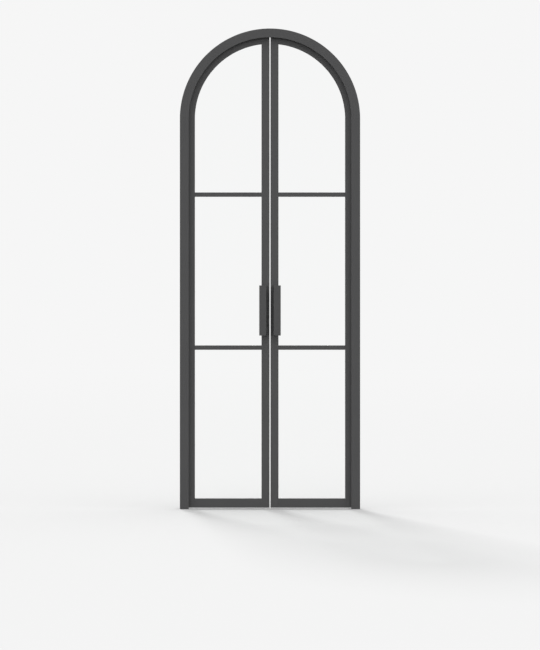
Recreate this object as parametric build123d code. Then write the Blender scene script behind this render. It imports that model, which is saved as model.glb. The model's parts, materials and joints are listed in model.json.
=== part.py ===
from build123d import *
import os

# Arched steel double door: a rebated frame with two glazed leaves that open to the back.
# Millimetres. +Z is up, the front looks towards -Y, and +X is to the right seen from the front.
# The origin is the middle of the left jamb's foot. Shapes are drawn about the door's middle
# line and moved to the origin when they are written.

# Frame outline: straight jambs under a full semicircle
FRAME_WIDTH = 914.4
FRAME_HEIGHT = 2438.4

# Frame section: a jamb with a stop along its front, and a rubber seal behind the stop
JAMB_WIDTH = 30.0
STOP_WIDTH = 15.0
STOP_DEPTH = 18.0
SEAL_WIDTH = 9.0
SEAL_THICKNESS = 3.0

# Running clearances round the leaves
SEAL_CLEARANCE = 5.0
EDGE_CLEARANCE = 5.0
MEETING_CLEARANCE = 5.0
FLOOR_CLEARANCE = 6.0

# Leaf section: a front lip, and a rebate behind it for the glass and its beads
LEAF_DEPTH = 38.0
STILE_WIDTH = 40.0
BOTTOM_RAIL_WIDTH = 46.0
LIP_DEPTH = 12.0
REBATE_WIDTH = 12.0

# Glazing bars: a wide front flange on a thin web
BAR_WIDTH = 21.0
BAR_WEB = 6.0

# Glass and beads
GLASS_THICKNESS = 6.0
GLASS_EDGE_CLEARANCE = 2.0
BEAD_CLEARANCE = 0.3

# Pull handles: a bent plate on each face of each meeting stile
PULL_HEIGHT = 254.0
PULL_MIDDLE = 1008.0
PULL_FLANGE = 37.0
PULL_STANDOFF = 48.0
PULL_THICKNESS = 4.0
PULL_BEND_RADIUS = 2.0
PULL_EDGE_DISTANCE = 15.0

# Lift-off hinges on the back, in a row up each jamb
HINGE_HEIGHTS = (260.0, 1010.0, 1760.0)
KNUCKLE_LENGTH = 48.0
KNUCKLE_RADIUS = 7.0
KNUCKLE_GAP = 0.3
KNUCKLE_STANDOFF = 0.5
KNUCKLE_CAP = 6.0
PIN_RADIUS = 4.0
PIN_CLEARANCE = 0.05
PIN_END_CLEARANCE = 1.0
WING_WIDTH = 22.0
WING_THICKNESS = 3.0

# Countersunk fixing holes through each jamb, hidden in the rebate by the closed leaf
FIXING_HEIGHTS = (160.0, 720.0, 1300.0, 1860.0)
FIXING_RADIUS = 4.5
COUNTERSINK_RADIUS = 9.0
COUNTERSINK_DEPTH = 4.5

# Places worked out from the sizes above
OUTER = FRAME_WIDTH / 2
SPRING = FRAME_HEIGHT - OUTER
JAMB_FACE = OUTER - JAMB_WIDTH
STOP_FACE = JAMB_FACE - STOP_WIDTH
LEAF_EDGE = JAMB_FACE - EDGE_CLEARANCE
MEETING_EDGE = MEETING_CLEARANCE / 2
SIGHT_OUTER = LEAF_EDGE - STILE_WIDTH
SIGHT_INNER = MEETING_EDGE + STILE_WIDTH
REBATE_OUTER = SIGHT_OUTER + REBATE_WIDTH
REBATE_INNER = SIGHT_INNER - REBATE_WIDTH
FRAME_DEPTH = STOP_DEPTH + SEAL_THICKNESS + SEAL_CLEARANCE + LEAF_DEPTH
FRONT = -FRAME_DEPTH / 2
BACK = FRAME_DEPTH / 2
STOP_BACK = FRONT + STOP_DEPTH
LEAF_FRONT = BACK - LEAF_DEPTH
LIP_BACK = LEAF_FRONT + LIP_DEPTH
GLASS_BACK = LIP_BACK + GLASS_THICKNESS
BEAD_FRONT = GLASS_BACK + BEAD_CLEARANCE
LEAF_BOTTOM = FLOOR_CLEARANCE
SIGHT_BOTTOM = LEAF_BOTTOM + BOTTOM_RAIL_WIDTH
REBATE_BOTTOM = SIGHT_BOTTOM - REBATE_WIDTH
SIGHT_TOP = SPRING + SIGHT_OUTER
LIGHT_COUNT = 3
LIGHT_HEIGHT = (SIGHT_TOP - SIGHT_BOTTOM - (LIGHT_COUNT - 1) * BAR_WIDTH) / LIGHT_COUNT
LOWER_BAR_Z = SIGHT_BOTTOM + LIGHT_HEIGHT + BAR_WIDTH / 2
UPPER_BAR_Z = LOWER_BAR_Z + LIGHT_HEIGHT + BAR_WIDTH
HINGE_X = (JAMB_FACE + LEAF_EDGE) / 2
HINGE_Y = BACK + KNUCKLE_STANDOFF + KNUCKLE_RADIUS
PULL_INSET = MEETING_EDGE + PULL_EDGE_DISTANCE
ORIGIN_X = OUTER - JAMB_WIDTH / 2


def slab(x, y, z):
    """A box between two places along each axis, each given as (low, high)."""
    size = [high - low for low, high in (x, y, z)]
    middle = [(high + low) / 2 for low, high in (x, y, z)]
    return Pos(*middle) * Box(*size)


def disc(radius, y):
    """A round slab about the arch's centre, between two depths."""
    low, high = y
    return Pos(0, (low + high) / 2, SPRING) * Rot(90, 0, 0) * Cylinder(radius, high - low)


def half_ring(inner, outer, y):
    """The upper half of a ring about the arch's centre."""
    above = slab((-outer, outer), y, (SPRING, SPRING + outer))
    return (disc(outer, y) - disc(inner, y)) & above


def left(inner, outer):
    """The x range of a piece on the left side, from its distances to the middle line."""
    return (-outer, -inner)


def left_of(inner, radius, y):
    """The space under the arch's top that lies left of a distance from the middle line."""
    return slab(left(inner, radius), y, (SPRING, SPRING + radius))


def fixing_hole(height):
    """A countersunk hole through the left jamb, open to the rebate."""
    depth = (STOP_BACK + BACK) / 2
    bore = Pos(-OUTER + JAMB_WIDTH / 2, depth, height) * Rot(0, 90, 0) * Cylinder(FIXING_RADIUS, JAMB_WIDTH)
    sink = Cone(FIXING_RADIUS, COUNTERSINK_RADIUS, COUNTERSINK_DEPTH)
    return bore + Pos(-JAMB_FACE - COUNTERSINK_DEPTH / 2, depth, height) * Rot(0, 90, 0) * sink


def jamb():
    """The left jamb with its stop along the front."""
    post = slab(left(JAMB_FACE, OUTER), (FRONT, BACK), (0, SPRING))
    stop = slab(left(STOP_FACE, JAMB_FACE), (FRONT, STOP_BACK), (0, SPRING))
    body = post + stop
    for height in FIXING_HEIGHTS:
        body -= fixing_hole(height)
    return body


def arch_head():
    """The semicircular head, of the jambs' section."""
    return half_ring(JAMB_FACE, OUTER, (FRONT, BACK)) + half_ring(STOP_FACE, JAMB_FACE, (FRONT, STOP_BACK))


def jamb_seal():
    """The rubber seal on the back of the left stop."""
    return slab(left(STOP_FACE, STOP_FACE + SEAL_WIDTH), (STOP_BACK, STOP_BACK + SEAL_THICKNESS), (0, SPRING))


def arch_seal():
    """The rubber seal on the back of the arched stop."""
    return half_ring(STOP_FACE, STOP_FACE + SEAL_WIDTH, (STOP_BACK, STOP_BACK + SEAL_THICKNESS))


def hanging_stile():
    """The straight stile beside the jamb."""
    lip = slab(left(SIGHT_OUTER, LEAF_EDGE), (LEAF_FRONT, LIP_BACK), (LEAF_BOTTOM, SPRING))
    return lip + slab(left(REBATE_OUTER, LEAF_EDGE), (LIP_BACK, BACK), (LEAF_BOTTOM, SPRING))


def arched_rail():
    """The quarter arch over the leaf, up to the meeting stile."""
    lip = half_ring(SIGHT_OUTER, LEAF_EDGE, (LEAF_FRONT, LIP_BACK))
    rear = half_ring(REBATE_OUTER, LEAF_EDGE, (LIP_BACK, BACK))
    lip &= left_of(SIGHT_INNER, LEAF_EDGE, (LEAF_FRONT, LIP_BACK))
    return lip + (rear & left_of(REBATE_INNER, LEAF_EDGE, (LIP_BACK, BACK)))


def arched_post(inner, outer, radius, y, bottom):
    """A straight piece whose top is cut to a radius about the arch's centre."""
    top = slab(left(inner, outer), y, (SPRING, SPRING + radius)) & disc(radius, y)
    return slab(left(inner, outer), y, (bottom, SPRING)) + top


def meeting_stile():
    """The stile beside the middle line, cut to the arch at its top."""
    lip = arched_post(MEETING_EDGE, SIGHT_INNER, LEAF_EDGE, (LEAF_FRONT, LIP_BACK), LEAF_BOTTOM)
    return lip + arched_post(MEETING_EDGE, REBATE_INNER, LEAF_EDGE, (LIP_BACK, BACK), LEAF_BOTTOM)


def bottom_rail():
    """The rail between the stiles at the foot of the leaf."""
    lip = slab(left(SIGHT_INNER, SIGHT_OUTER), (LEAF_FRONT, LIP_BACK), (LEAF_BOTTOM, SIGHT_BOTTOM))
    return lip + slab(left(REBATE_INNER, REBATE_OUTER), (LIP_BACK, BACK), (LEAF_BOTTOM, REBATE_BOTTOM))


def glazing_bar(middle):
    """A level bar between the stiles: a flange on a web."""
    flange_z = (middle - BAR_WIDTH / 2, middle + BAR_WIDTH / 2)
    web_z = (middle - BAR_WEB / 2, middle + BAR_WEB / 2)
    flange = slab(left(SIGHT_INNER, SIGHT_OUTER), (LEAF_FRONT, LIP_BACK), flange_z)
    return flange + slab(left(REBATE_INNER, REBATE_OUTER), (LIP_BACK, BACK), web_z)


def pane(low, high):
    """A square-cornered pane between two rebates, given by the heights of their floors."""
    x = left(REBATE_INNER + GLASS_EDGE_CLEARANCE, REBATE_OUTER - GLASS_EDGE_CLEARANCE)
    return slab(x, (LIP_BACK, GLASS_BACK), (low + GLASS_EDGE_CLEARANCE, high - GLASS_EDGE_CLEARANCE))


def upper_pane(low):
    """The pane under the arch."""
    inner = REBATE_INNER + GLASS_EDGE_CLEARANCE
    outer = REBATE_OUTER - GLASS_EDGE_CLEARANCE
    return arched_post(inner, outer, outer, (LIP_BACK, GLASS_BACK), low + GLASS_EDGE_CLEARANCE)


def level_bead(z):
    """A bead along a rail or a bar, between two heights."""
    x = left(REBATE_INNER + BEAD_CLEARANCE, REBATE_OUTER - BEAD_CLEARANCE)
    return slab(x, (BEAD_FRONT, BACK), z)


def beads(low, sight_low, sight_high, high):
    """The four beads behind a square-cornered pane, between rebate floors and sight lines."""
    y = (BEAD_FRONT, BACK)
    side_z = (sight_low + BEAD_CLEARANCE, sight_high - BEAD_CLEARANCE)
    return [
        level_bead((low + BEAD_CLEARANCE, sight_low)),
        level_bead((sight_high, high - BEAD_CLEARANCE)),
        slab(left(SIGHT_OUTER, REBATE_OUTER - BEAD_CLEARANCE), y, side_z),
        slab(left(REBATE_INNER + BEAD_CLEARANCE, SIGHT_INNER), y, side_z),
    ]


def upper_beads(low, sight_low):
    """The beads behind the pane under the arch: one of them is curved."""
    y = (BEAD_FRONT, BACK)
    floor = REBATE_OUTER - BEAD_CLEARANCE
    start = sight_low + BEAD_CLEARANCE
    curved = half_ring(SIGHT_OUTER, floor, y) & left_of(SIGHT_INNER + BEAD_CLEARANCE, floor, y)
    return [
        level_bead((low + BEAD_CLEARANCE, sight_low)),
        slab(left(SIGHT_OUTER, floor), y, (start, SPRING - BEAD_CLEARANCE)),
        curved,
        arched_post(REBATE_INNER + BEAD_CLEARANCE, SIGHT_INNER, floor, y, start),
    ]


def pull(face, side):
    """A bent-plate handle on the face at a depth, standing out to side -1 (front) or 1 (back)."""
    outer_radius = PULL_BEND_RADIUS + PULL_THICKNESS
    foot = (-PULL_INSET, face)
    bend = (-PULL_INSET, face + side * PULL_STANDOFF)
    tip = (-PULL_INSET - PULL_FLANGE, bend[1])
    inner_x = -PULL_INSET - PULL_THICKNESS
    inner_y = bend[1] - side * PULL_THICKNESS
    outline = Polyline(foot, bend, tip, (tip[0], inner_y), (inner_x, inner_y), (inner_x, face), close=True)
    profile = make_face(outline)
    profile = fillet(profile.vertices().sort_by_distance(bend)[0], outer_radius)
    profile = fillet(profile.vertices().sort_by_distance((inner_x, inner_y))[0], PULL_BEND_RADIUS)
    return Pos(0, 0, PULL_MIDDLE - PULL_HEIGHT / 2) * extrude(profile, PULL_HEIGHT, dir=(0, 0, 1))


def upright(radius, low, high):
    """A round bar on the hinge line, between two heights."""
    return Pos(-HINGE_X, HINGE_Y, (low + high) / 2) * Cylinder(radius, high - low)


def wing(edge, side, z):
    """A hinge plate on the back, reaching from an edge beside the hinge line to one side."""
    x = sorted((-edge, -edge + side * WING_WIDTH))
    return slab(x, (BACK, BACK + WING_THICKNESS), z)


def frame_hinge(height):
    """The lower half of a hinge: a plate on the jamb, its knuckle and the pin."""
    z = (height - KNUCKLE_LENGTH, height - KNUCKLE_GAP / 2)
    pin_top = height + KNUCKLE_LENGTH - KNUCKLE_CAP - PIN_END_CLEARANCE
    body = wing(JAMB_FACE, -1, z) + upright(KNUCKLE_RADIUS, *z)
    return body + upright(PIN_RADIUS, z[0], pin_top)


def leaf_hinge(height):
    """The upper half of a hinge: a plate on the stile and a blind knuckle over the pin."""
    z = (height + KNUCKLE_GAP / 2, height + KNUCKLE_LENGTH)
    body = wing(LEAF_EDGE, 1, z) + upright(KNUCKLE_RADIUS, *z)
    return body - upright(PIN_RADIUS + PIN_CLEARANCE, z[0], z[1] - KNUCKLE_CAP)


def frame_side():
    """Nodes of the left half of the frame."""
    return {
        "jamb": [jamb()],
        "seal": [jamb_seal()],
        "frame_hinges": [frame_hinge(height) for height in HINGE_HEIGHTS],
    }


def leaf():
    """Nodes of the left leaf."""
    half_bar = BAR_WIDTH / 2
    half_web = BAR_WEB / 2
    lower_web = (LOWER_BAR_Z - half_web, LOWER_BAR_Z + half_web)
    upper_web = (UPPER_BAR_Z - half_web, UPPER_BAR_Z + half_web)
    lower_sight = (LOWER_BAR_Z - half_bar, LOWER_BAR_Z + half_bar)
    upper_sight = (UPPER_BAR_Z - half_bar, UPPER_BAR_Z + half_bar)
    return {
        "hanging_stile": [hanging_stile()],
        "arched_rail": [arched_rail()],
        "meeting_stile": [meeting_stile()],
        "bottom_rail": [bottom_rail()],
        "lower_bar": [glazing_bar(LOWER_BAR_Z)],
        "upper_bar": [glazing_bar(UPPER_BAR_Z)],
        "lower_pane": [pane(REBATE_BOTTOM, lower_web[0])],
        "middle_pane": [pane(lower_web[1], upper_web[0])],
        "upper_pane": [upper_pane(upper_web[1])],
        "lower_beads": beads(REBATE_BOTTOM, SIGHT_BOTTOM, lower_sight[0], lower_web[0]),
        "middle_beads": beads(lower_web[1], lower_sight[1], upper_sight[0], upper_web[0]),
        "upper_beads": upper_beads(upper_web[1], upper_sight[1]),
        "front_pull": [pull(LEAF_FRONT, -1)],
        "back_pull": [pull(BACK, 1)],
        "leaf_hinges": [leaf_hinge(height) for height in HINGE_HEIGHTS],
    }


def write(name, solids):
    """One file per node, moved to the part's origin."""
    placed = [Pos(ORIGIN_X, 0, 0) * solid for solid in solids]
    shape = placed[0] if len(placed) == 1 else Compound(children=placed)
    export_step(shape, os.path.join("parts", name + ".step"))


os.makedirs("parts", exist_ok=True)
write("arch_head", [arch_head()])
write("arch_seal", [arch_seal()])
for name, solids in {**frame_side(), **leaf()}.items():
    write("left_" + name, solids)
    write("right_" + name, [mirror(solid, Plane.YZ) for solid in solids])
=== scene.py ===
import json
import math

import bmesh
import bpy
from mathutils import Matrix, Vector


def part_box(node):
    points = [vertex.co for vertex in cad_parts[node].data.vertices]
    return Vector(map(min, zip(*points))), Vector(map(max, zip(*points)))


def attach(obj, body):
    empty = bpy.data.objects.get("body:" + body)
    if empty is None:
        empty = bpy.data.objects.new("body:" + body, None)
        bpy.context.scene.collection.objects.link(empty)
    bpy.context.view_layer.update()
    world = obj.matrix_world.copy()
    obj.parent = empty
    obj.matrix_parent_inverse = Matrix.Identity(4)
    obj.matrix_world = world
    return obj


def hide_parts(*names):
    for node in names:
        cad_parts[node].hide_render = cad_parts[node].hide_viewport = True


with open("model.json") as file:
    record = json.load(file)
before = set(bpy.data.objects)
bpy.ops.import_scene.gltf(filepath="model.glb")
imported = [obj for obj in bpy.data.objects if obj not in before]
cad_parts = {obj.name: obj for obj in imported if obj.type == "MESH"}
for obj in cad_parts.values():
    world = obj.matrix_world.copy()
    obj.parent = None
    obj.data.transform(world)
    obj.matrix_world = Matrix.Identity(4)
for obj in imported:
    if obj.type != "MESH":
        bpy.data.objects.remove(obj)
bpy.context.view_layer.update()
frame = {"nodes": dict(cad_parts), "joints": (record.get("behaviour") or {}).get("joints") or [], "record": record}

# Places read from the frame, in metres. The two halves mirror each other, so places across the
# door are distances from its middle line, and a sign gives the side.
NODES = frame["nodes"]
SIDES = {"left": -1, "right": 1}
JAMB_LOW, JAMB_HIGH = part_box("left_jamb")
DOOR_X = (JAMB_LOW.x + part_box("right_jamb")[1].x) / 2
FRONT = JAMB_LOW.y
SPRING = JAMB_HIGH.z
SEAL_LOW, SEAL_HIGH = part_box("left_seal")
SIGHT_OUTER = DOOR_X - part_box("left_hanging_stile")[1].x
SIGHT_INNER = DOOR_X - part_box("left_meeting_stile")[0].x
SIGHT_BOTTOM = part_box("left_bottom_rail")[1].z
LOWER_BAR_LOW, LOWER_BAR_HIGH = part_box("left_lower_bar")
UPPER_BAR_LOW, UPPER_BAR_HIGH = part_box("left_upper_bar")
PANE_LOW, PANE_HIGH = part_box("left_lower_pane")
BEAD_LOW, BEAD_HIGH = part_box("left_lower_beads")

# Lights are a leaf's glazed openings, by their lowest and highest places: the upper one ends in the arch
LIGHTS = {
    "lower": (SIGHT_BOTTOM, LOWER_BAR_LOW.z),
    "middle": (LOWER_BAR_HIGH.z, UPPER_BAR_LOW.z),
    "upper": (UPPER_BAR_HIGH.z, None),
}
ARCHED_NODES = ["arch_head"]
ARCHED_NODES += [f"{side}_{name}" for side in SIDES for name in ("arched_rail", "upper_beads")]

# Eased edges, in metres, and the angles between faces that count as flat, eased and sharp
EDGE_RADIUS = 0.0006
EDGE_STEPS = 2
GLASS_ARRIS = 0.0008
MERGE_DIGITS = 5
MERGE_DISTANCE = 10 ** -MERGE_DIGITS
FLAT_ANGLE = math.radians(0.4)
EASED_ANGLE = math.radians(30)
SHARP_ANGLE = math.radians(35)
LARGE_FACE_WEIGHT = 100

# Steps of a full arch, the times that a CAD arch's chords are halved, and the most that this adds to a radius
ARC_STEPS = 120
ARC_HALVINGS = 2
LARGEST_GROWTH = 1.003

# Seal and gaskets, in metres. What lies on a face is sunk into it a little.
SUNK = 0.00005
SEAL_BASE = 0.0008
SEAL_FLANGE = 0.001
BULB_STEPS = 12
GASKET_SIZE = 0.0007
GASKET_STEPS = 4

# Screws, in metres. A head's rings are shares of its radius and heights by its radius, from the rim inwards.
SCREW_SIDES = 24
HEAD_RINGS = ((1, -0.05), (1, 0.08), (0.93, 0.17), (0.78, 0.25), (0.6, 0.3))
SOCKET_RINGS = ((0.42, 0.32), (0.4, 0.3), (0.4, 0.05))
SOCKET_CORNERS = 6
BEAD_SCREW_RADIUS = 0.003
BEAD_SCREW_SPACING = 0.26
BEAD_SCREW_MARGIN = 0.06
HINGE_SCREW_RADIUS = 0.0036
HINGE_SCREW_EDGE = 0.009
HINGE_SCREW_END = 0.012

# Fillet welds along the feet of the pulls, in metres
PULL_THICKNESS = 0.004
WELD_LEG = 0.0022
WELD_RIPPLE = 0.0003
WELD_PITCH = 0.0024
WELD_STEPS = 4
WELD_RINGS = 4

# Finishes. A grain is a noise's waves a metre, then the strength and the depth in metres of its relief.
NOISE_LOW = 0.3
NOISE_HIGH = 0.7
CLOUD_SCALE = 9.0
CLOUD_DETAIL = 4.0
GRAIN_DETAIL = 2.0
PAINT_COLOUR = (0.066, 0.066, 0.067)
PAINT_VARIATION = 0.025
PAINT_ROUGHNESS = (0.47, 0.55)
PAINT_SPECULAR = 0.2
PAINT_PEEL = (260.0, 0.2, 0.0006)
PAINT_GRAIN = (1700.0, 0.3, 0.0001)
RUBBER_COLOUR = (0.014, 0.014, 0.014)
RUBBER_VARIATION = 0.25
RUBBER_ROUGHNESS = (0.6, 0.8)
RUBBER_SPECULAR = 0.3
RUBBER_GRAIN = (900.0, 0.2, 0.0001)
SCREW_COLOUR = (0.11, 0.11, 0.115)
SCREW_VARIATION = 0.15
SCREW_ROUGHNESS = (0.34, 0.46)
SCREW_GRAIN = (1300.0, 0.15, 0.00005)
GLASS_COLOUR = (0.994, 0.998, 0.996, 1)
GLASS_SHADOW = (0.84, 0.85, 0.845, 1)
GLASS_IOR = 1.5
GLASS_WAVES = (5.0, 0.04, 0.0005)
GLASS_WAVE_DETAIL = 1.0

# The photograph: its size in pixels, the door's scale and where its feet and horizon lie in it
PHOTO_SIZE = (540, 650)
METRES_PER_PIXEL = 0.0050721
FEET_ROW = 509.2
HORIZON_ROW = 280.0
CAMERA_DISTANCE = 20.0
CAMERA_REACH = 200.0
SENSOR_WIDTH = 36.0

# Levels of the background and the lights. An upright face sees half of the sky, so the sky's level
# is about twice the light on the door.
BACKGROUND = 0.922
SKY_LEVEL = 1.8
BACK_LAMP_LEVEL = 0.15
SHADOW_LAMP_LEVEL = 0.4
LAMP_ELEVATION = math.radians(27)
LAMP_TURN = math.radians(10)
LAMP_ANGLE = math.radians(10)

# The floor, in metres: its shade as the eye sees it and as it lights the door, and where it fades
FLOOR_SIZE = 160.0
FLOOR_SEEN = 0.386
FLOOR_BOUNCE = 0.1
FADE_START = 4.0
FADE_END = 30.0


def new_material(name):
    """A material with an empty node tree, and its output."""
    material = bpy.data.materials.new(name)
    material.use_nodes = True
    tree = material.node_tree
    tree.nodes.clear()
    return material, tree, tree.nodes.new("ShaderNodeOutputMaterial")


def math_node(tree, operation, first, second):
    """A number worked out from two others, each a socket or a value."""
    node = tree.nodes.new("ShaderNodeMath")
    node.operation = operation
    for socket, value in zip(node.inputs, (first, second)):
        if isinstance(value, float):
            socket.default_value = value
        else:
            tree.links.new(value, socket)
    return node.outputs["Value"]


def vector_node(tree, operation, first, second):
    """A vector worked out from a socket and a fixed vector."""
    node = tree.nodes.new("ShaderNodeVectorMath")
    node.operation = operation
    tree.links.new(first, node.inputs[0])
    node.inputs[1].default_value = second
    return node.outputs["Vector"]


def length_of(tree, vector):
    """The length of a vector socket."""
    node = tree.nodes.new("ShaderNodeVectorMath")
    node.operation = "LENGTH"
    tree.links.new(vector, node.inputs[0])
    return node.outputs["Value"]


def mixed(tree, share, first, second):
    """Two shaders mixed by the share of the second one, all of them sockets."""
    mix = tree.nodes.new("ShaderNodeMixShader")
    for socket, source in zip(mix.inputs, (share, first, second)):
        tree.links.new(source, socket)
    return mix.outputs["Shader"]


def grey(level):
    """A neutral colour of a level."""
    return (level, level, level, 1)


def noise(tree, scale, detail):
    """A noise fixed to the piece, with its scale in waves a metre."""
    place = tree.nodes.new("ShaderNodeTexCoord")
    texture = tree.nodes.new("ShaderNodeTexNoise")
    texture.inputs["Scale"].default_value = scale
    texture.inputs["Detail"].default_value = detail
    tree.links.new(place.outputs["Object"], texture.inputs["Vector"])
    return texture.outputs["Fac"]


def tones(tree, value, colour, variation):
    """A colour a little darker and lighter than the one given, by a noise."""
    ramp = tree.nodes.new("ShaderNodeValToRGB")
    ends = ((NOISE_LOW, 1 - variation), (NOISE_HIGH, 1 + variation))
    for element, (position, share) in zip(ramp.color_ramp.elements, ends):
        element.position = position
        element.color = [part * share for part in colour] + [1]
    tree.links.new(value, ramp.inputs["Fac"])
    return ramp.outputs["Color"]


def between(tree, value, low, high):
    """A noise brought to a range."""
    scale = tree.nodes.new("ShaderNodeMapRange")
    scale.inputs["From Min"].default_value = NOISE_LOW
    scale.inputs["From Max"].default_value = NOISE_HIGH
    scale.inputs["To Min"].default_value = low
    scale.inputs["To Max"].default_value = high
    tree.links.new(value, scale.inputs["Value"])
    return scale.outputs["Result"]


def relief(tree, value, strength, depth, under=None):
    """A bump from a noise, on top of another bump if one is given."""
    bump = tree.nodes.new("ShaderNodeBump")
    bump.inputs["Strength"].default_value = strength
    bump.inputs["Distance"].default_value = depth
    tree.links.new(value, bump.inputs["Height"])
    if under:
        tree.links.new(under, bump.inputs["Normal"])
    return bump.outputs["Normal"]


def solid_material(name, colour, variation, roughness, grains):
    """An opaque material: a clouded colour and gloss over one or more grains."""
    material, tree, output = new_material(name)
    surface = tree.nodes.new("ShaderNodeBsdfPrincipled")
    cloud = noise(tree, CLOUD_SCALE, CLOUD_DETAIL)
    normal = None
    for scale, strength, depth in grains:
        normal = relief(tree, noise(tree, scale, GRAIN_DETAIL), strength, depth, normal)
    link = tree.links.new
    link(tones(tree, cloud, colour, variation), surface.inputs["Base Color"])
    link(between(tree, cloud, *roughness), surface.inputs["Roughness"])
    link(normal, surface.inputs["Normal"])
    link(surface.outputs["BSDF"], output.inputs["Surface"])
    return material, surface


def paint():
    """Satin powder coat: orange peel under a fine grain."""
    look = (PAINT_COLOUR, PAINT_VARIATION, PAINT_ROUGHNESS, (PAINT_PEEL, PAINT_GRAIN))
    material, surface = solid_material("dark_grey_paint", *look)
    surface.inputs["Specular IOR Level"].default_value = PAINT_SPECULAR
    return material


def rubber():
    """Matt black rubber with a dusty bloom."""
    look = (RUBBER_COLOUR, RUBBER_VARIATION, RUBBER_ROUGHNESS, (RUBBER_GRAIN,))
    material, surface = solid_material("black_rubber", *look)
    surface.inputs["Specular IOR Level"].default_value = RUBBER_SPECULAR
    return material


def screw_steel():
    """Blackened steel of the screws."""
    look = (SCREW_COLOUR, SCREW_VARIATION, SCREW_ROUGHNESS, (SCREW_GRAIN,))
    material, surface = solid_material("blackened_steel", *look)
    surface.inputs["Metallic"].default_value = 1.0
    return material


def glass():
    """Clear float glass with a trace of waviness. Light falls straight through it, a little dimmed."""
    material, tree, output = new_material("clear_glass")
    nodes, link = tree.nodes, tree.links.new
    surface = nodes.new("ShaderNodeBsdfPrincipled")
    surface.inputs["Base Color"].default_value = GLASS_COLOUR
    surface.inputs["Roughness"].default_value = 0.0
    surface.inputs["IOR"].default_value = GLASS_IOR
    surface.inputs["Transmission Weight"].default_value = 1.0
    scale, strength, depth = GLASS_WAVES
    link(relief(tree, noise(tree, scale, GLASS_WAVE_DETAIL), strength, depth), surface.inputs["Normal"])
    clear = nodes.new("ShaderNodeBsdfTransparent")
    clear.inputs["Color"].default_value = GLASS_SHADOW
    ray = nodes.new("ShaderNodeLightPath")
    lighting = math_node(tree, "MAXIMUM", ray.outputs["Is Shadow Ray"], ray.outputs["Is Diffuse Ray"])
    link(mixed(tree, lighting, surface.outputs["BSDF"], clear.outputs["BSDF"]), output.inputs["Surface"])
    return material


def back_on_arc(group, spoke, radius, old_radius):
    """Which new points lie on a chord of an arch, and the way from each one back to its circle."""
    # A short chord's middle lies just inside its circle, and a straight edge's lies far inside or below
    growth = math_node(group, "DIVIDE", old_radius, radius)
    on_arc = math_node(group, "LESS_THAN", growth, LARGEST_GROWTH)
    height = group.nodes.new("ShaderNodeSeparateXYZ")
    group.links.new(spoke, height.inputs[0])
    above = math_node(group, "GREATER_THAN", height.outputs["Z"], 0.0)
    move = group.nodes.new("ShaderNodeVectorMath")
    move.operation = "SCALE"
    group.links.new(spoke, move.inputs[0])
    group.links.new(math_node(group, "SUBTRACT", growth, 1.0), move.inputs["Scale"])
    return math_node(group, "MULTIPLY", on_arc, above), move.outputs["Vector"]


def rounding_group():
    """Halves each edge, and sets the new points on an arch's edges back on its circle."""
    group = bpy.data.node_groups.new("round_arch", "GeometryNodeTree")
    for way in ("INPUT", "OUTPUT"):
        group.interface.new_socket("Geometry", in_out=way, socket_type="NodeSocketGeometry")
    nodes, link = group.nodes, group.links.new
    start = nodes.new("NodeGroupInput")
    place = nodes.new("GeometryNodeInputPosition")
    from_centre = vector_node(group, "SUBTRACT", place.outputs[0], Vector((DOOR_X, 0, SPRING)))
    spoke = vector_node(group, "MULTIPLY", from_centre, (1, 0, 1))
    radius = length_of(group, spoke)
    keep = nodes.new("GeometryNodeCaptureAttribute")
    keep.capture_items.new("FLOAT", "radius")
    halve = nodes.new("GeometryNodeSubdivideMesh")
    halve.inputs["Level"].default_value = 1
    link(start.outputs[0], keep.inputs[0])
    link(radius, keep.inputs[1])
    link(keep.outputs[0], halve.inputs[0])
    chosen, move = back_on_arc(group, spoke, radius, keep.outputs[1])
    shift = nodes.new("GeometryNodeSetPosition")
    end = nodes.new("NodeGroupOutput")
    link(halve.outputs[0], shift.inputs["Geometry"])
    link(chosen, shift.inputs["Selection"])
    link(move, shift.inputs["Offset"])
    link(shift.outputs[0], end.inputs[0])
    return group


def ease_edges(node, width, steps, rounding=None):
    """Joins a node's faces, rounds its arch where a way is given, and eases its edges."""
    merge = node.modifiers.new("merge", "WELD")
    merge.merge_threshold = MERGE_DISTANCE
    if rounding:
        for _ in range(ARC_HALVINGS):
            node.modifiers.new("round_arch", "NODES").node_group = rounding
    flatten = node.modifiers.new("flatten", "DECIMATE")
    flatten.decimate_type = "DISSOLVE"
    flatten.angle_limit = FLAT_ANGLE
    bevel = node.modifiers.new("edges", "BEVEL")
    bevel.width = width
    bevel.segments = steps
    bevel.use_clamp_overlap = False
    bevel.limit_method = "ANGLE"
    bevel.angle_limit = EASED_ANGLE


def dress_frame(finishes):
    """Gives each CAD node its finish, with eased edges on the steel and arrised ones on the glass."""
    slots = {row["node"]: row["material_slot"] for row in frame["record"]["subparts"]}
    rounding = rounding_group()
    for name, node in NODES.items():
        node.data.materials.clear()
        node.data.materials.append(finishes[slots[name]])
        if slots[name] == "dark_grey_paint":
            node.data.shade_smooth()
            ease_edges(node, EDGE_RADIUS, EDGE_STEPS, rounding if name in ARCHED_NODES else None)
            shade = node.modifiers.new("shade", "WEIGHTED_NORMAL")
            shade.weight = LARGE_FACE_WEIGHT
        elif slots[name] == "clear_glass":
            node.data.shade_flat()
            ease_edges(node, GLASS_ARRIS, 1)


def across(sign, distance, depth, height):
    """A point at a distance from the middle line, on one side."""
    return Vector((DOOR_X + sign * distance, depth, height))


def on_arch(radius, angle):
    """Distance from the middle and height of a point on the arch, from the spring line up."""
    return radius * math.cos(angle), SPRING + radius * math.sin(angle)


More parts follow.
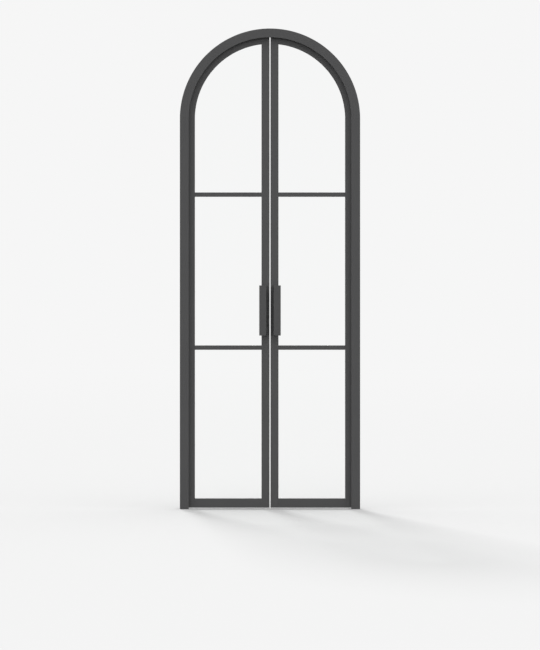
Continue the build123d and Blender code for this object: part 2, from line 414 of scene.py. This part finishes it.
def skin(rings, closed=False):
    """Points and faces of a surface through rings of as many points, closed on itself or capped."""
    count = len(rings[0])
    points = [point for ring in rings for point in ring]
    faces = []
    for row in range(len(rings) if closed else len(rings) - 1):
        here = row * count
        there = (row + 1) % len(rings) * count
        for place in range(count):
            beside = (place + 1) % count
            faces.append((here + place, here + beside, there + beside, there + place))
    if not closed:
        faces.append(tuple(range(count)))
        faces.append(tuple(range(len(points) - count, len(points))))
    return points, faces


def joined(shapes):
    """Several shapes as one."""
    points, faces = [], []
    for some_points, some_faces in shapes:
        start = len(points)
        points += some_points
        faces += [tuple(start + place for place in face) for face in some_faces]
    return points, faces


def make_piece(name, shape, body, material):
    """A closed mesh that rides on a body."""
    points, faces = shape
    mesh = bpy.data.meshes.new(name)
    mesh.from_pydata(points, [], faces)
    work = bmesh.new()
    work.from_mesh(mesh)
    bmesh.ops.recalc_face_normals(work, faces=work.faces)
    work.to_mesh(mesh)
    work.free()
    mesh.shade_smooth()
    mesh.set_sharp_from_angle(angle=SHARP_ANGLE)
    mesh.materials.append(material)
    piece = bpy.data.objects.new(name, mesh)
    bpy.context.scene.collection.objects.link(piece)
    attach(piece, body)
    return piece


def seal_profile():
    """Section of the seal as distances and depths: a flat base with a bulb towards the leaf."""
    inner, outer = DOOR_X - SEAL_HIGH.x, DOOR_X - SEAL_LOW.x
    base = SEAL_LOW.y + SEAL_BASE
    middle = (inner + outer) / 2
    reach = (outer - inner) / 2 - SEAL_FLANGE
    rise = SEAL_HIGH.y - base
    profile = [(inner, SEAL_LOW.y), (inner, base)]
    for step in range(BULB_STEPS + 1):
        turn = math.pi * step / BULB_STEPS
        profile.append((middle - reach * math.cos(turn), base + rise * math.sin(turn)))
    return profile + [(outer, base), (outer, SEAL_LOW.y)]


def make_seal(material):
    """The rubber seal in one length, up one jamb, round the arch and down the other."""
    profile = seal_profile()
    rings = [[across(-1, distance, depth, 0) for distance, depth in profile]]
    for step in range(ARC_STEPS + 1):
        angle = math.pi * (1 - step / ARC_STEPS)
        ring = []
        for radius, depth in profile:
            distance, height = on_arch(radius, angle)
            ring.append(across(1, distance, depth, height))
        rings.append(ring)
    rings.append([across(1, distance, depth, 0) for distance, depth in profile])
    piece = make_piece("door_seal", skin(rings), "frame", material)
    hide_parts("left_seal", "right_seal", "arch_seal")


def light_outline(low, high, inset):
    """The edge of a light drawn in from its sight line, as distances and heights.

    A light with no top height reaches up to the arch.
    """
    inner, outer = SIGHT_INNER + inset, SIGHT_OUTER - inset
    outline = [(inner, low + inset), (outer, low + inset)]
    if high:
        return outline + [(outer, high - inset), (inner, high - inset)]
    last = math.acos(inner / outer)
    steps = ARC_STEPS // 2
    return outline + [on_arch(outer, last * step / steps) for step in range(steps + 1)]


def gasket(sign, low, high, face, way):
    """A quarter round in the corner between a light's edge and a face of the glass."""
    profile = [(-SUNK, SUNK)]
    for step in range(GASKET_STEPS + 1):
        turn = math.pi / 2 * step / GASKET_STEPS
        profile.append((GASKET_SIZE * math.sin(turn) - SUNK, GASKET_SIZE * math.cos(turn) + SUNK))
    loops = []
    for inset, rise in profile:
        outline = light_outline(low, high, inset)
        loops.append([across(sign, distance, face + way * rise, height) for distance, height in outline])
    return skin(loops, closed=True)


def make_gaskets(material):
    """Rubber round each pane, at its front and its back."""
    for side, sign in SIDES.items():
        for row, (low, high) in LIGHTS.items():
            front = gasket(sign, low, high, PANE_LOW.y, -1)
            back = gasket(sign, low, high, PANE_HIGH.y, 1)
            name = f"{side}_{row}_gaskets"
            make_piece(name, joined((front, back)), f"{side}_leaf", material)


def screw_ring(radius, share, height, corners=0):
    """A ring of points round a screw's axis, with flats between corners if there are any."""
    points = []
    for step in range(SCREW_SIDES):
        turn = 2 * math.pi * step / SCREW_SIDES
        reach = share * radius
        if corners:
            slice_angle = 2 * math.pi / corners
            reach /= math.cos(turn % slice_angle - slice_angle / 2)
        points.append(Vector((reach * math.cos(turn), reach * math.sin(turn), height * radius)))
    return points


def screw(place, axis, radius):
    """A low domed screw head with a hexagon socket, on a face that looks along the axis."""
    rings = [screw_ring(radius, share, height) for share, height in HEAD_RINGS]
    rings += [screw_ring(radius, share, height, SOCKET_CORNERS) for share, height in SOCKET_RINGS]
    turned = axis.to_track_quat("Z", "Y")
    return skin([[place + turned @ point for point in ring] for ring in rings])


def even_places(low, high):
    """Even places along a bead, a margin in from its ends."""
    length = high - low - 2 * BEAD_SCREW_MARGIN
    gaps = max(1, math.ceil(length / BEAD_SCREW_SPACING))
    return [low + BEAD_SCREW_MARGIN + length * step / gaps for step in range(gaps + 1)]


def bead_screws(sign, low, high):
    """Screws through the beads of a light, on the faces that look into it."""
    depth = (BEAD_LOW.y + BEAD_HIGH.y) / 2
    out, up = Vector((sign, 0, 0)), Vector((0, 0, 1))
    last = math.acos(SIGHT_INNER / SIGHT_OUTER)
    inner_top = high or on_arch(SIGHT_OUTER, last)[1]
    places = [(across(sign, SIGHT_INNER, depth, height), out) for height in even_places(low, inner_top)]
    for height in even_places(low, high or SPRING):
        places.append((across(sign, SIGHT_OUTER, depth, height), -out))
    for distance in even_places(SIGHT_INNER, SIGHT_OUTER):
        places.append((across(sign, distance, depth, low), up))
        if high:
            places.append((across(sign, distance, depth, high), -up))
    if not high:
        for length in even_places(0, SIGHT_OUTER * last):
            angle = length / SIGHT_OUTER
            distance, height = on_arch(SIGHT_OUTER, angle)
            inwards = -out * math.cos(angle) - up * math.sin(angle)
            places.append((across(sign, distance, depth, height), inwards))
    return [screw(place, axis, BEAD_SCREW_RADIUS) for place, axis in places]


def hinge_screws(node, axis_x):
    """Two screws in each hinge plate of a node, placed from the plates' outer edges."""
    edge = max((corner.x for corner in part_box(node)), key=lambda x: abs(x - axis_x))
    rim = [vertex.co for vertex in NODES[node].data.vertices if abs(vertex.co.x - edge) < MERGE_DISTANCE]
    face = max(point.y for point in rim)
    ends = sorted({round(point.z, MERGE_DIGITS) for point in rim})
    x = edge + math.copysign(HINGE_SCREW_EDGE, axis_x - edge)
    heads = []
    for low, high in zip(ends[::2], ends[1::2]):
        for height in (low + HINGE_SCREW_END, high - HINGE_SCREW_END):
            heads.append(screw(Vector((x, face, height)), Vector((0, 1, 0)), HINGE_SCREW_RADIUS))
    return heads


def make_screws(material):
    """Screws of the beads and of the hinge plates."""
    hinge_x = {joint["child"]: joint["pos_m"][0] for joint in frame["joints"]}
    for side, sign in SIDES.items():
        leaf = f"{side}_leaf"
        heads = [head for low, high in LIGHTS.values() for head in bead_screws(sign, low, high)]
        make_piece(f"{side}_bead_screws", joined(heads), leaf, material)
        for body, node in (("frame", f"{side}_frame_hinges"), (leaf, f"{side}_leaf_hinges")):
            heads = hinge_screws(node, hinge_x[leaf])
            make_piece(f"{node}_screws", joined(heads), body, material)


def weld_bead(sign, distance, away, face, way, low, high):
    """A rippled fillet along a pull's foot, on one side of its plate."""
    rings = []
    count = round((high - low) / WELD_PITCH) * WELD_RINGS
    for step in range(count + 1):
        height = low + (high - low) * step / count
        wave = abs(math.sin(math.pi * step / WELD_RINGS))
        leg = WELD_LEG + WELD_RIPPLE * wave
        ring = [across(sign, distance - away * SUNK, face - way * SUNK, height)]
        for part in range(WELD_STEPS + 1):
            turn = math.pi / 2 * part / WELD_STEPS
            out, rise = leg * math.sin(turn), leg * math.cos(turn)
            ring.append(across(sign, distance + away * (out - SUNK), face + way * (rise - SUNK), height))
        rings.append(ring)
    return skin(rings)


def make_welds(material):
    """Fillet welds that hold each pull to its stile."""
    for side, sign in SIDES.items():
        for face_name, way in (("front", -1), ("back", 1)):
            low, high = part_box(f"{side}_{face_name}_pull")
            near = min(abs(low.x - DOOR_X), abs(high.x - DOOR_X))
            face = high.y if way < 0 else low.y
            beads = []
            for distance, away in ((near, -1), (near + PULL_THICKNESS, 1)):
                beads.append(weld_bead(sign, distance, away, face, way, low.z, high.z))
            name = f"{side}_{face_name}_pull_welds"
            make_piece(name, joined(beads), f"{side}_leaf", material)


def seen_ray(tree):
    """One for the rays that meet the eye straight, in a reflection or through glass, and else zero."""
    ray = tree.nodes.new("ShaderNodeLightPath")
    seen = ray.outputs["Is Camera Ray"]
    for kind in ("Is Glossy Ray", "Is Transmission Ray"):
        seen = math_node(tree, "MAXIMUM", seen, ray.outputs[kind])
    return seen


def floor_material():
    """A pale surface that keeps the door's shadow and fades into the background far from the door."""
    material, tree, output = new_material("floor")
    nodes, link = tree.nodes, tree.links.new
    seen = seen_ray(tree)
    colour = nodes.new("ShaderNodeMix")
    colour.data_type = "RGBA"
    colour.inputs["A"].default_value = grey(FLOOR_BOUNCE)
    colour.inputs["B"].default_value = grey(FLOOR_SEEN)
    link(seen, colour.inputs["Factor"])
    near = nodes.new("ShaderNodeBsdfDiffuse")
    link(colour.outputs["Result"], near.inputs["Color"])
    far = nodes.new("ShaderNodeEmission")
    far.inputs["Color"].default_value = grey(BACKGROUND)
    place = nodes.new("ShaderNodeTexCoord")
    fade = nodes.new("ShaderNodeMapRange")
    fade.interpolation_type = "SMOOTHSTEP"
    fade.inputs["From Min"].default_value = FADE_START
    fade.inputs["From Max"].default_value = FADE_END
    link(length_of(tree, place.outputs["Object"]), fade.inputs["Value"])
    share = math_node(tree, "MULTIPLY", fade.outputs["Result"], seen)
    link(mixed(tree, share, near.outputs["BSDF"], far.outputs["Emission"]), output.inputs["Surface"])
    return material


def make_floor():
    """A plain floor round the door."""
    bpy.ops.mesh.primitive_plane_add(size=FLOOR_SIZE, location=(DOOR_X, 0, 0))
    floor = bpy.context.object
    floor.name = "floor"
    floor.data.materials.append(floor_material())
    return floor


def make_world():
    """An even pale background for the eye, and a brighter even sky that lights the door."""
    world = bpy.data.worlds.new("studio")
    bpy.context.scene.world = world
    world.use_nodes = True
    tree = world.node_tree
    tree.nodes.clear()
    output = tree.nodes.new("ShaderNodeOutputWorld")
    background = tree.nodes.new("ShaderNodeBackground")
    background.inputs["Color"].default_value = grey(BACKGROUND)
    sky = tree.nodes.new("ShaderNodeBackground")
    sky.inputs["Color"].default_value = grey(SKY_LEVEL)
    shown = mixed(tree, seen_ray(tree), sky.outputs["Background"], background.outputs["Background"])
    tree.links.new(shown, output.inputs["Surface"])


def make_lamp(name, level, lit=None):
    """A lamp far behind the door, a little to its left, for all things or for one thing alone."""
    light = bpy.data.lights.new(name, "SUN")
    light.energy = level * math.pi / math.sin(LAMP_ELEVATION)
    light.angle = LAMP_ANGLE
    lamp = bpy.data.objects.new(name, light)
    lamp.rotation_euler = (LAMP_ELEVATION - math.pi / 2, 0, LAMP_TURN)
    bpy.context.scene.collection.objects.link(lamp)
    if lit:
        receivers = bpy.data.collections.new(f"{name}_receivers")
        receivers.objects.link(lit)
        lamp.light_linking.receiver_collection = receivers


def make_camera():
    """Straight on, at the photograph's scale, with its horizon in the same row."""
    camera = bpy.data.objects.new("camera", bpy.data.cameras.new("camera"))
    bpy.context.scene.collection.objects.link(camera)
    height = (FEET_ROW - HORIZON_ROW) * METRES_PER_PIXEL
    camera.location = (DOOR_X, FRONT - CAMERA_DISTANCE, height)
    camera.rotation_euler = (math.pi / 2, 0, 0)
    camera.data.sensor_width = SENSOR_WIDTH
    camera.data.lens = SENSOR_WIDTH * CAMERA_DISTANCE / (PHOTO_SIZE[1] * METRES_PER_PIXEL)
    camera.data.shift_y = (HORIZON_ROW - PHOTO_SIZE[1] / 2) / PHOTO_SIZE[1]
    camera.data.clip_end = CAMERA_REACH
    bpy.context.scene.camera = camera


finishes = {"dark_grey_paint": paint(), "clear_glass": glass(), "black_rubber": rubber()}
dress_frame(finishes)
make_seal(finishes["black_rubber"])
make_gaskets(finishes["black_rubber"])
make_screws(screw_steel())
make_welds(finishes["dark_grey_paint"])

bpy.context.scene.view_settings.view_transform = "Standard"
floor = make_floor()
make_world()
make_lamp("back_lamp", BACK_LAMP_LEVEL)
make_lamp("shadow_lamp", SHADOW_LAMP_LEVEL, floor)
make_camera()
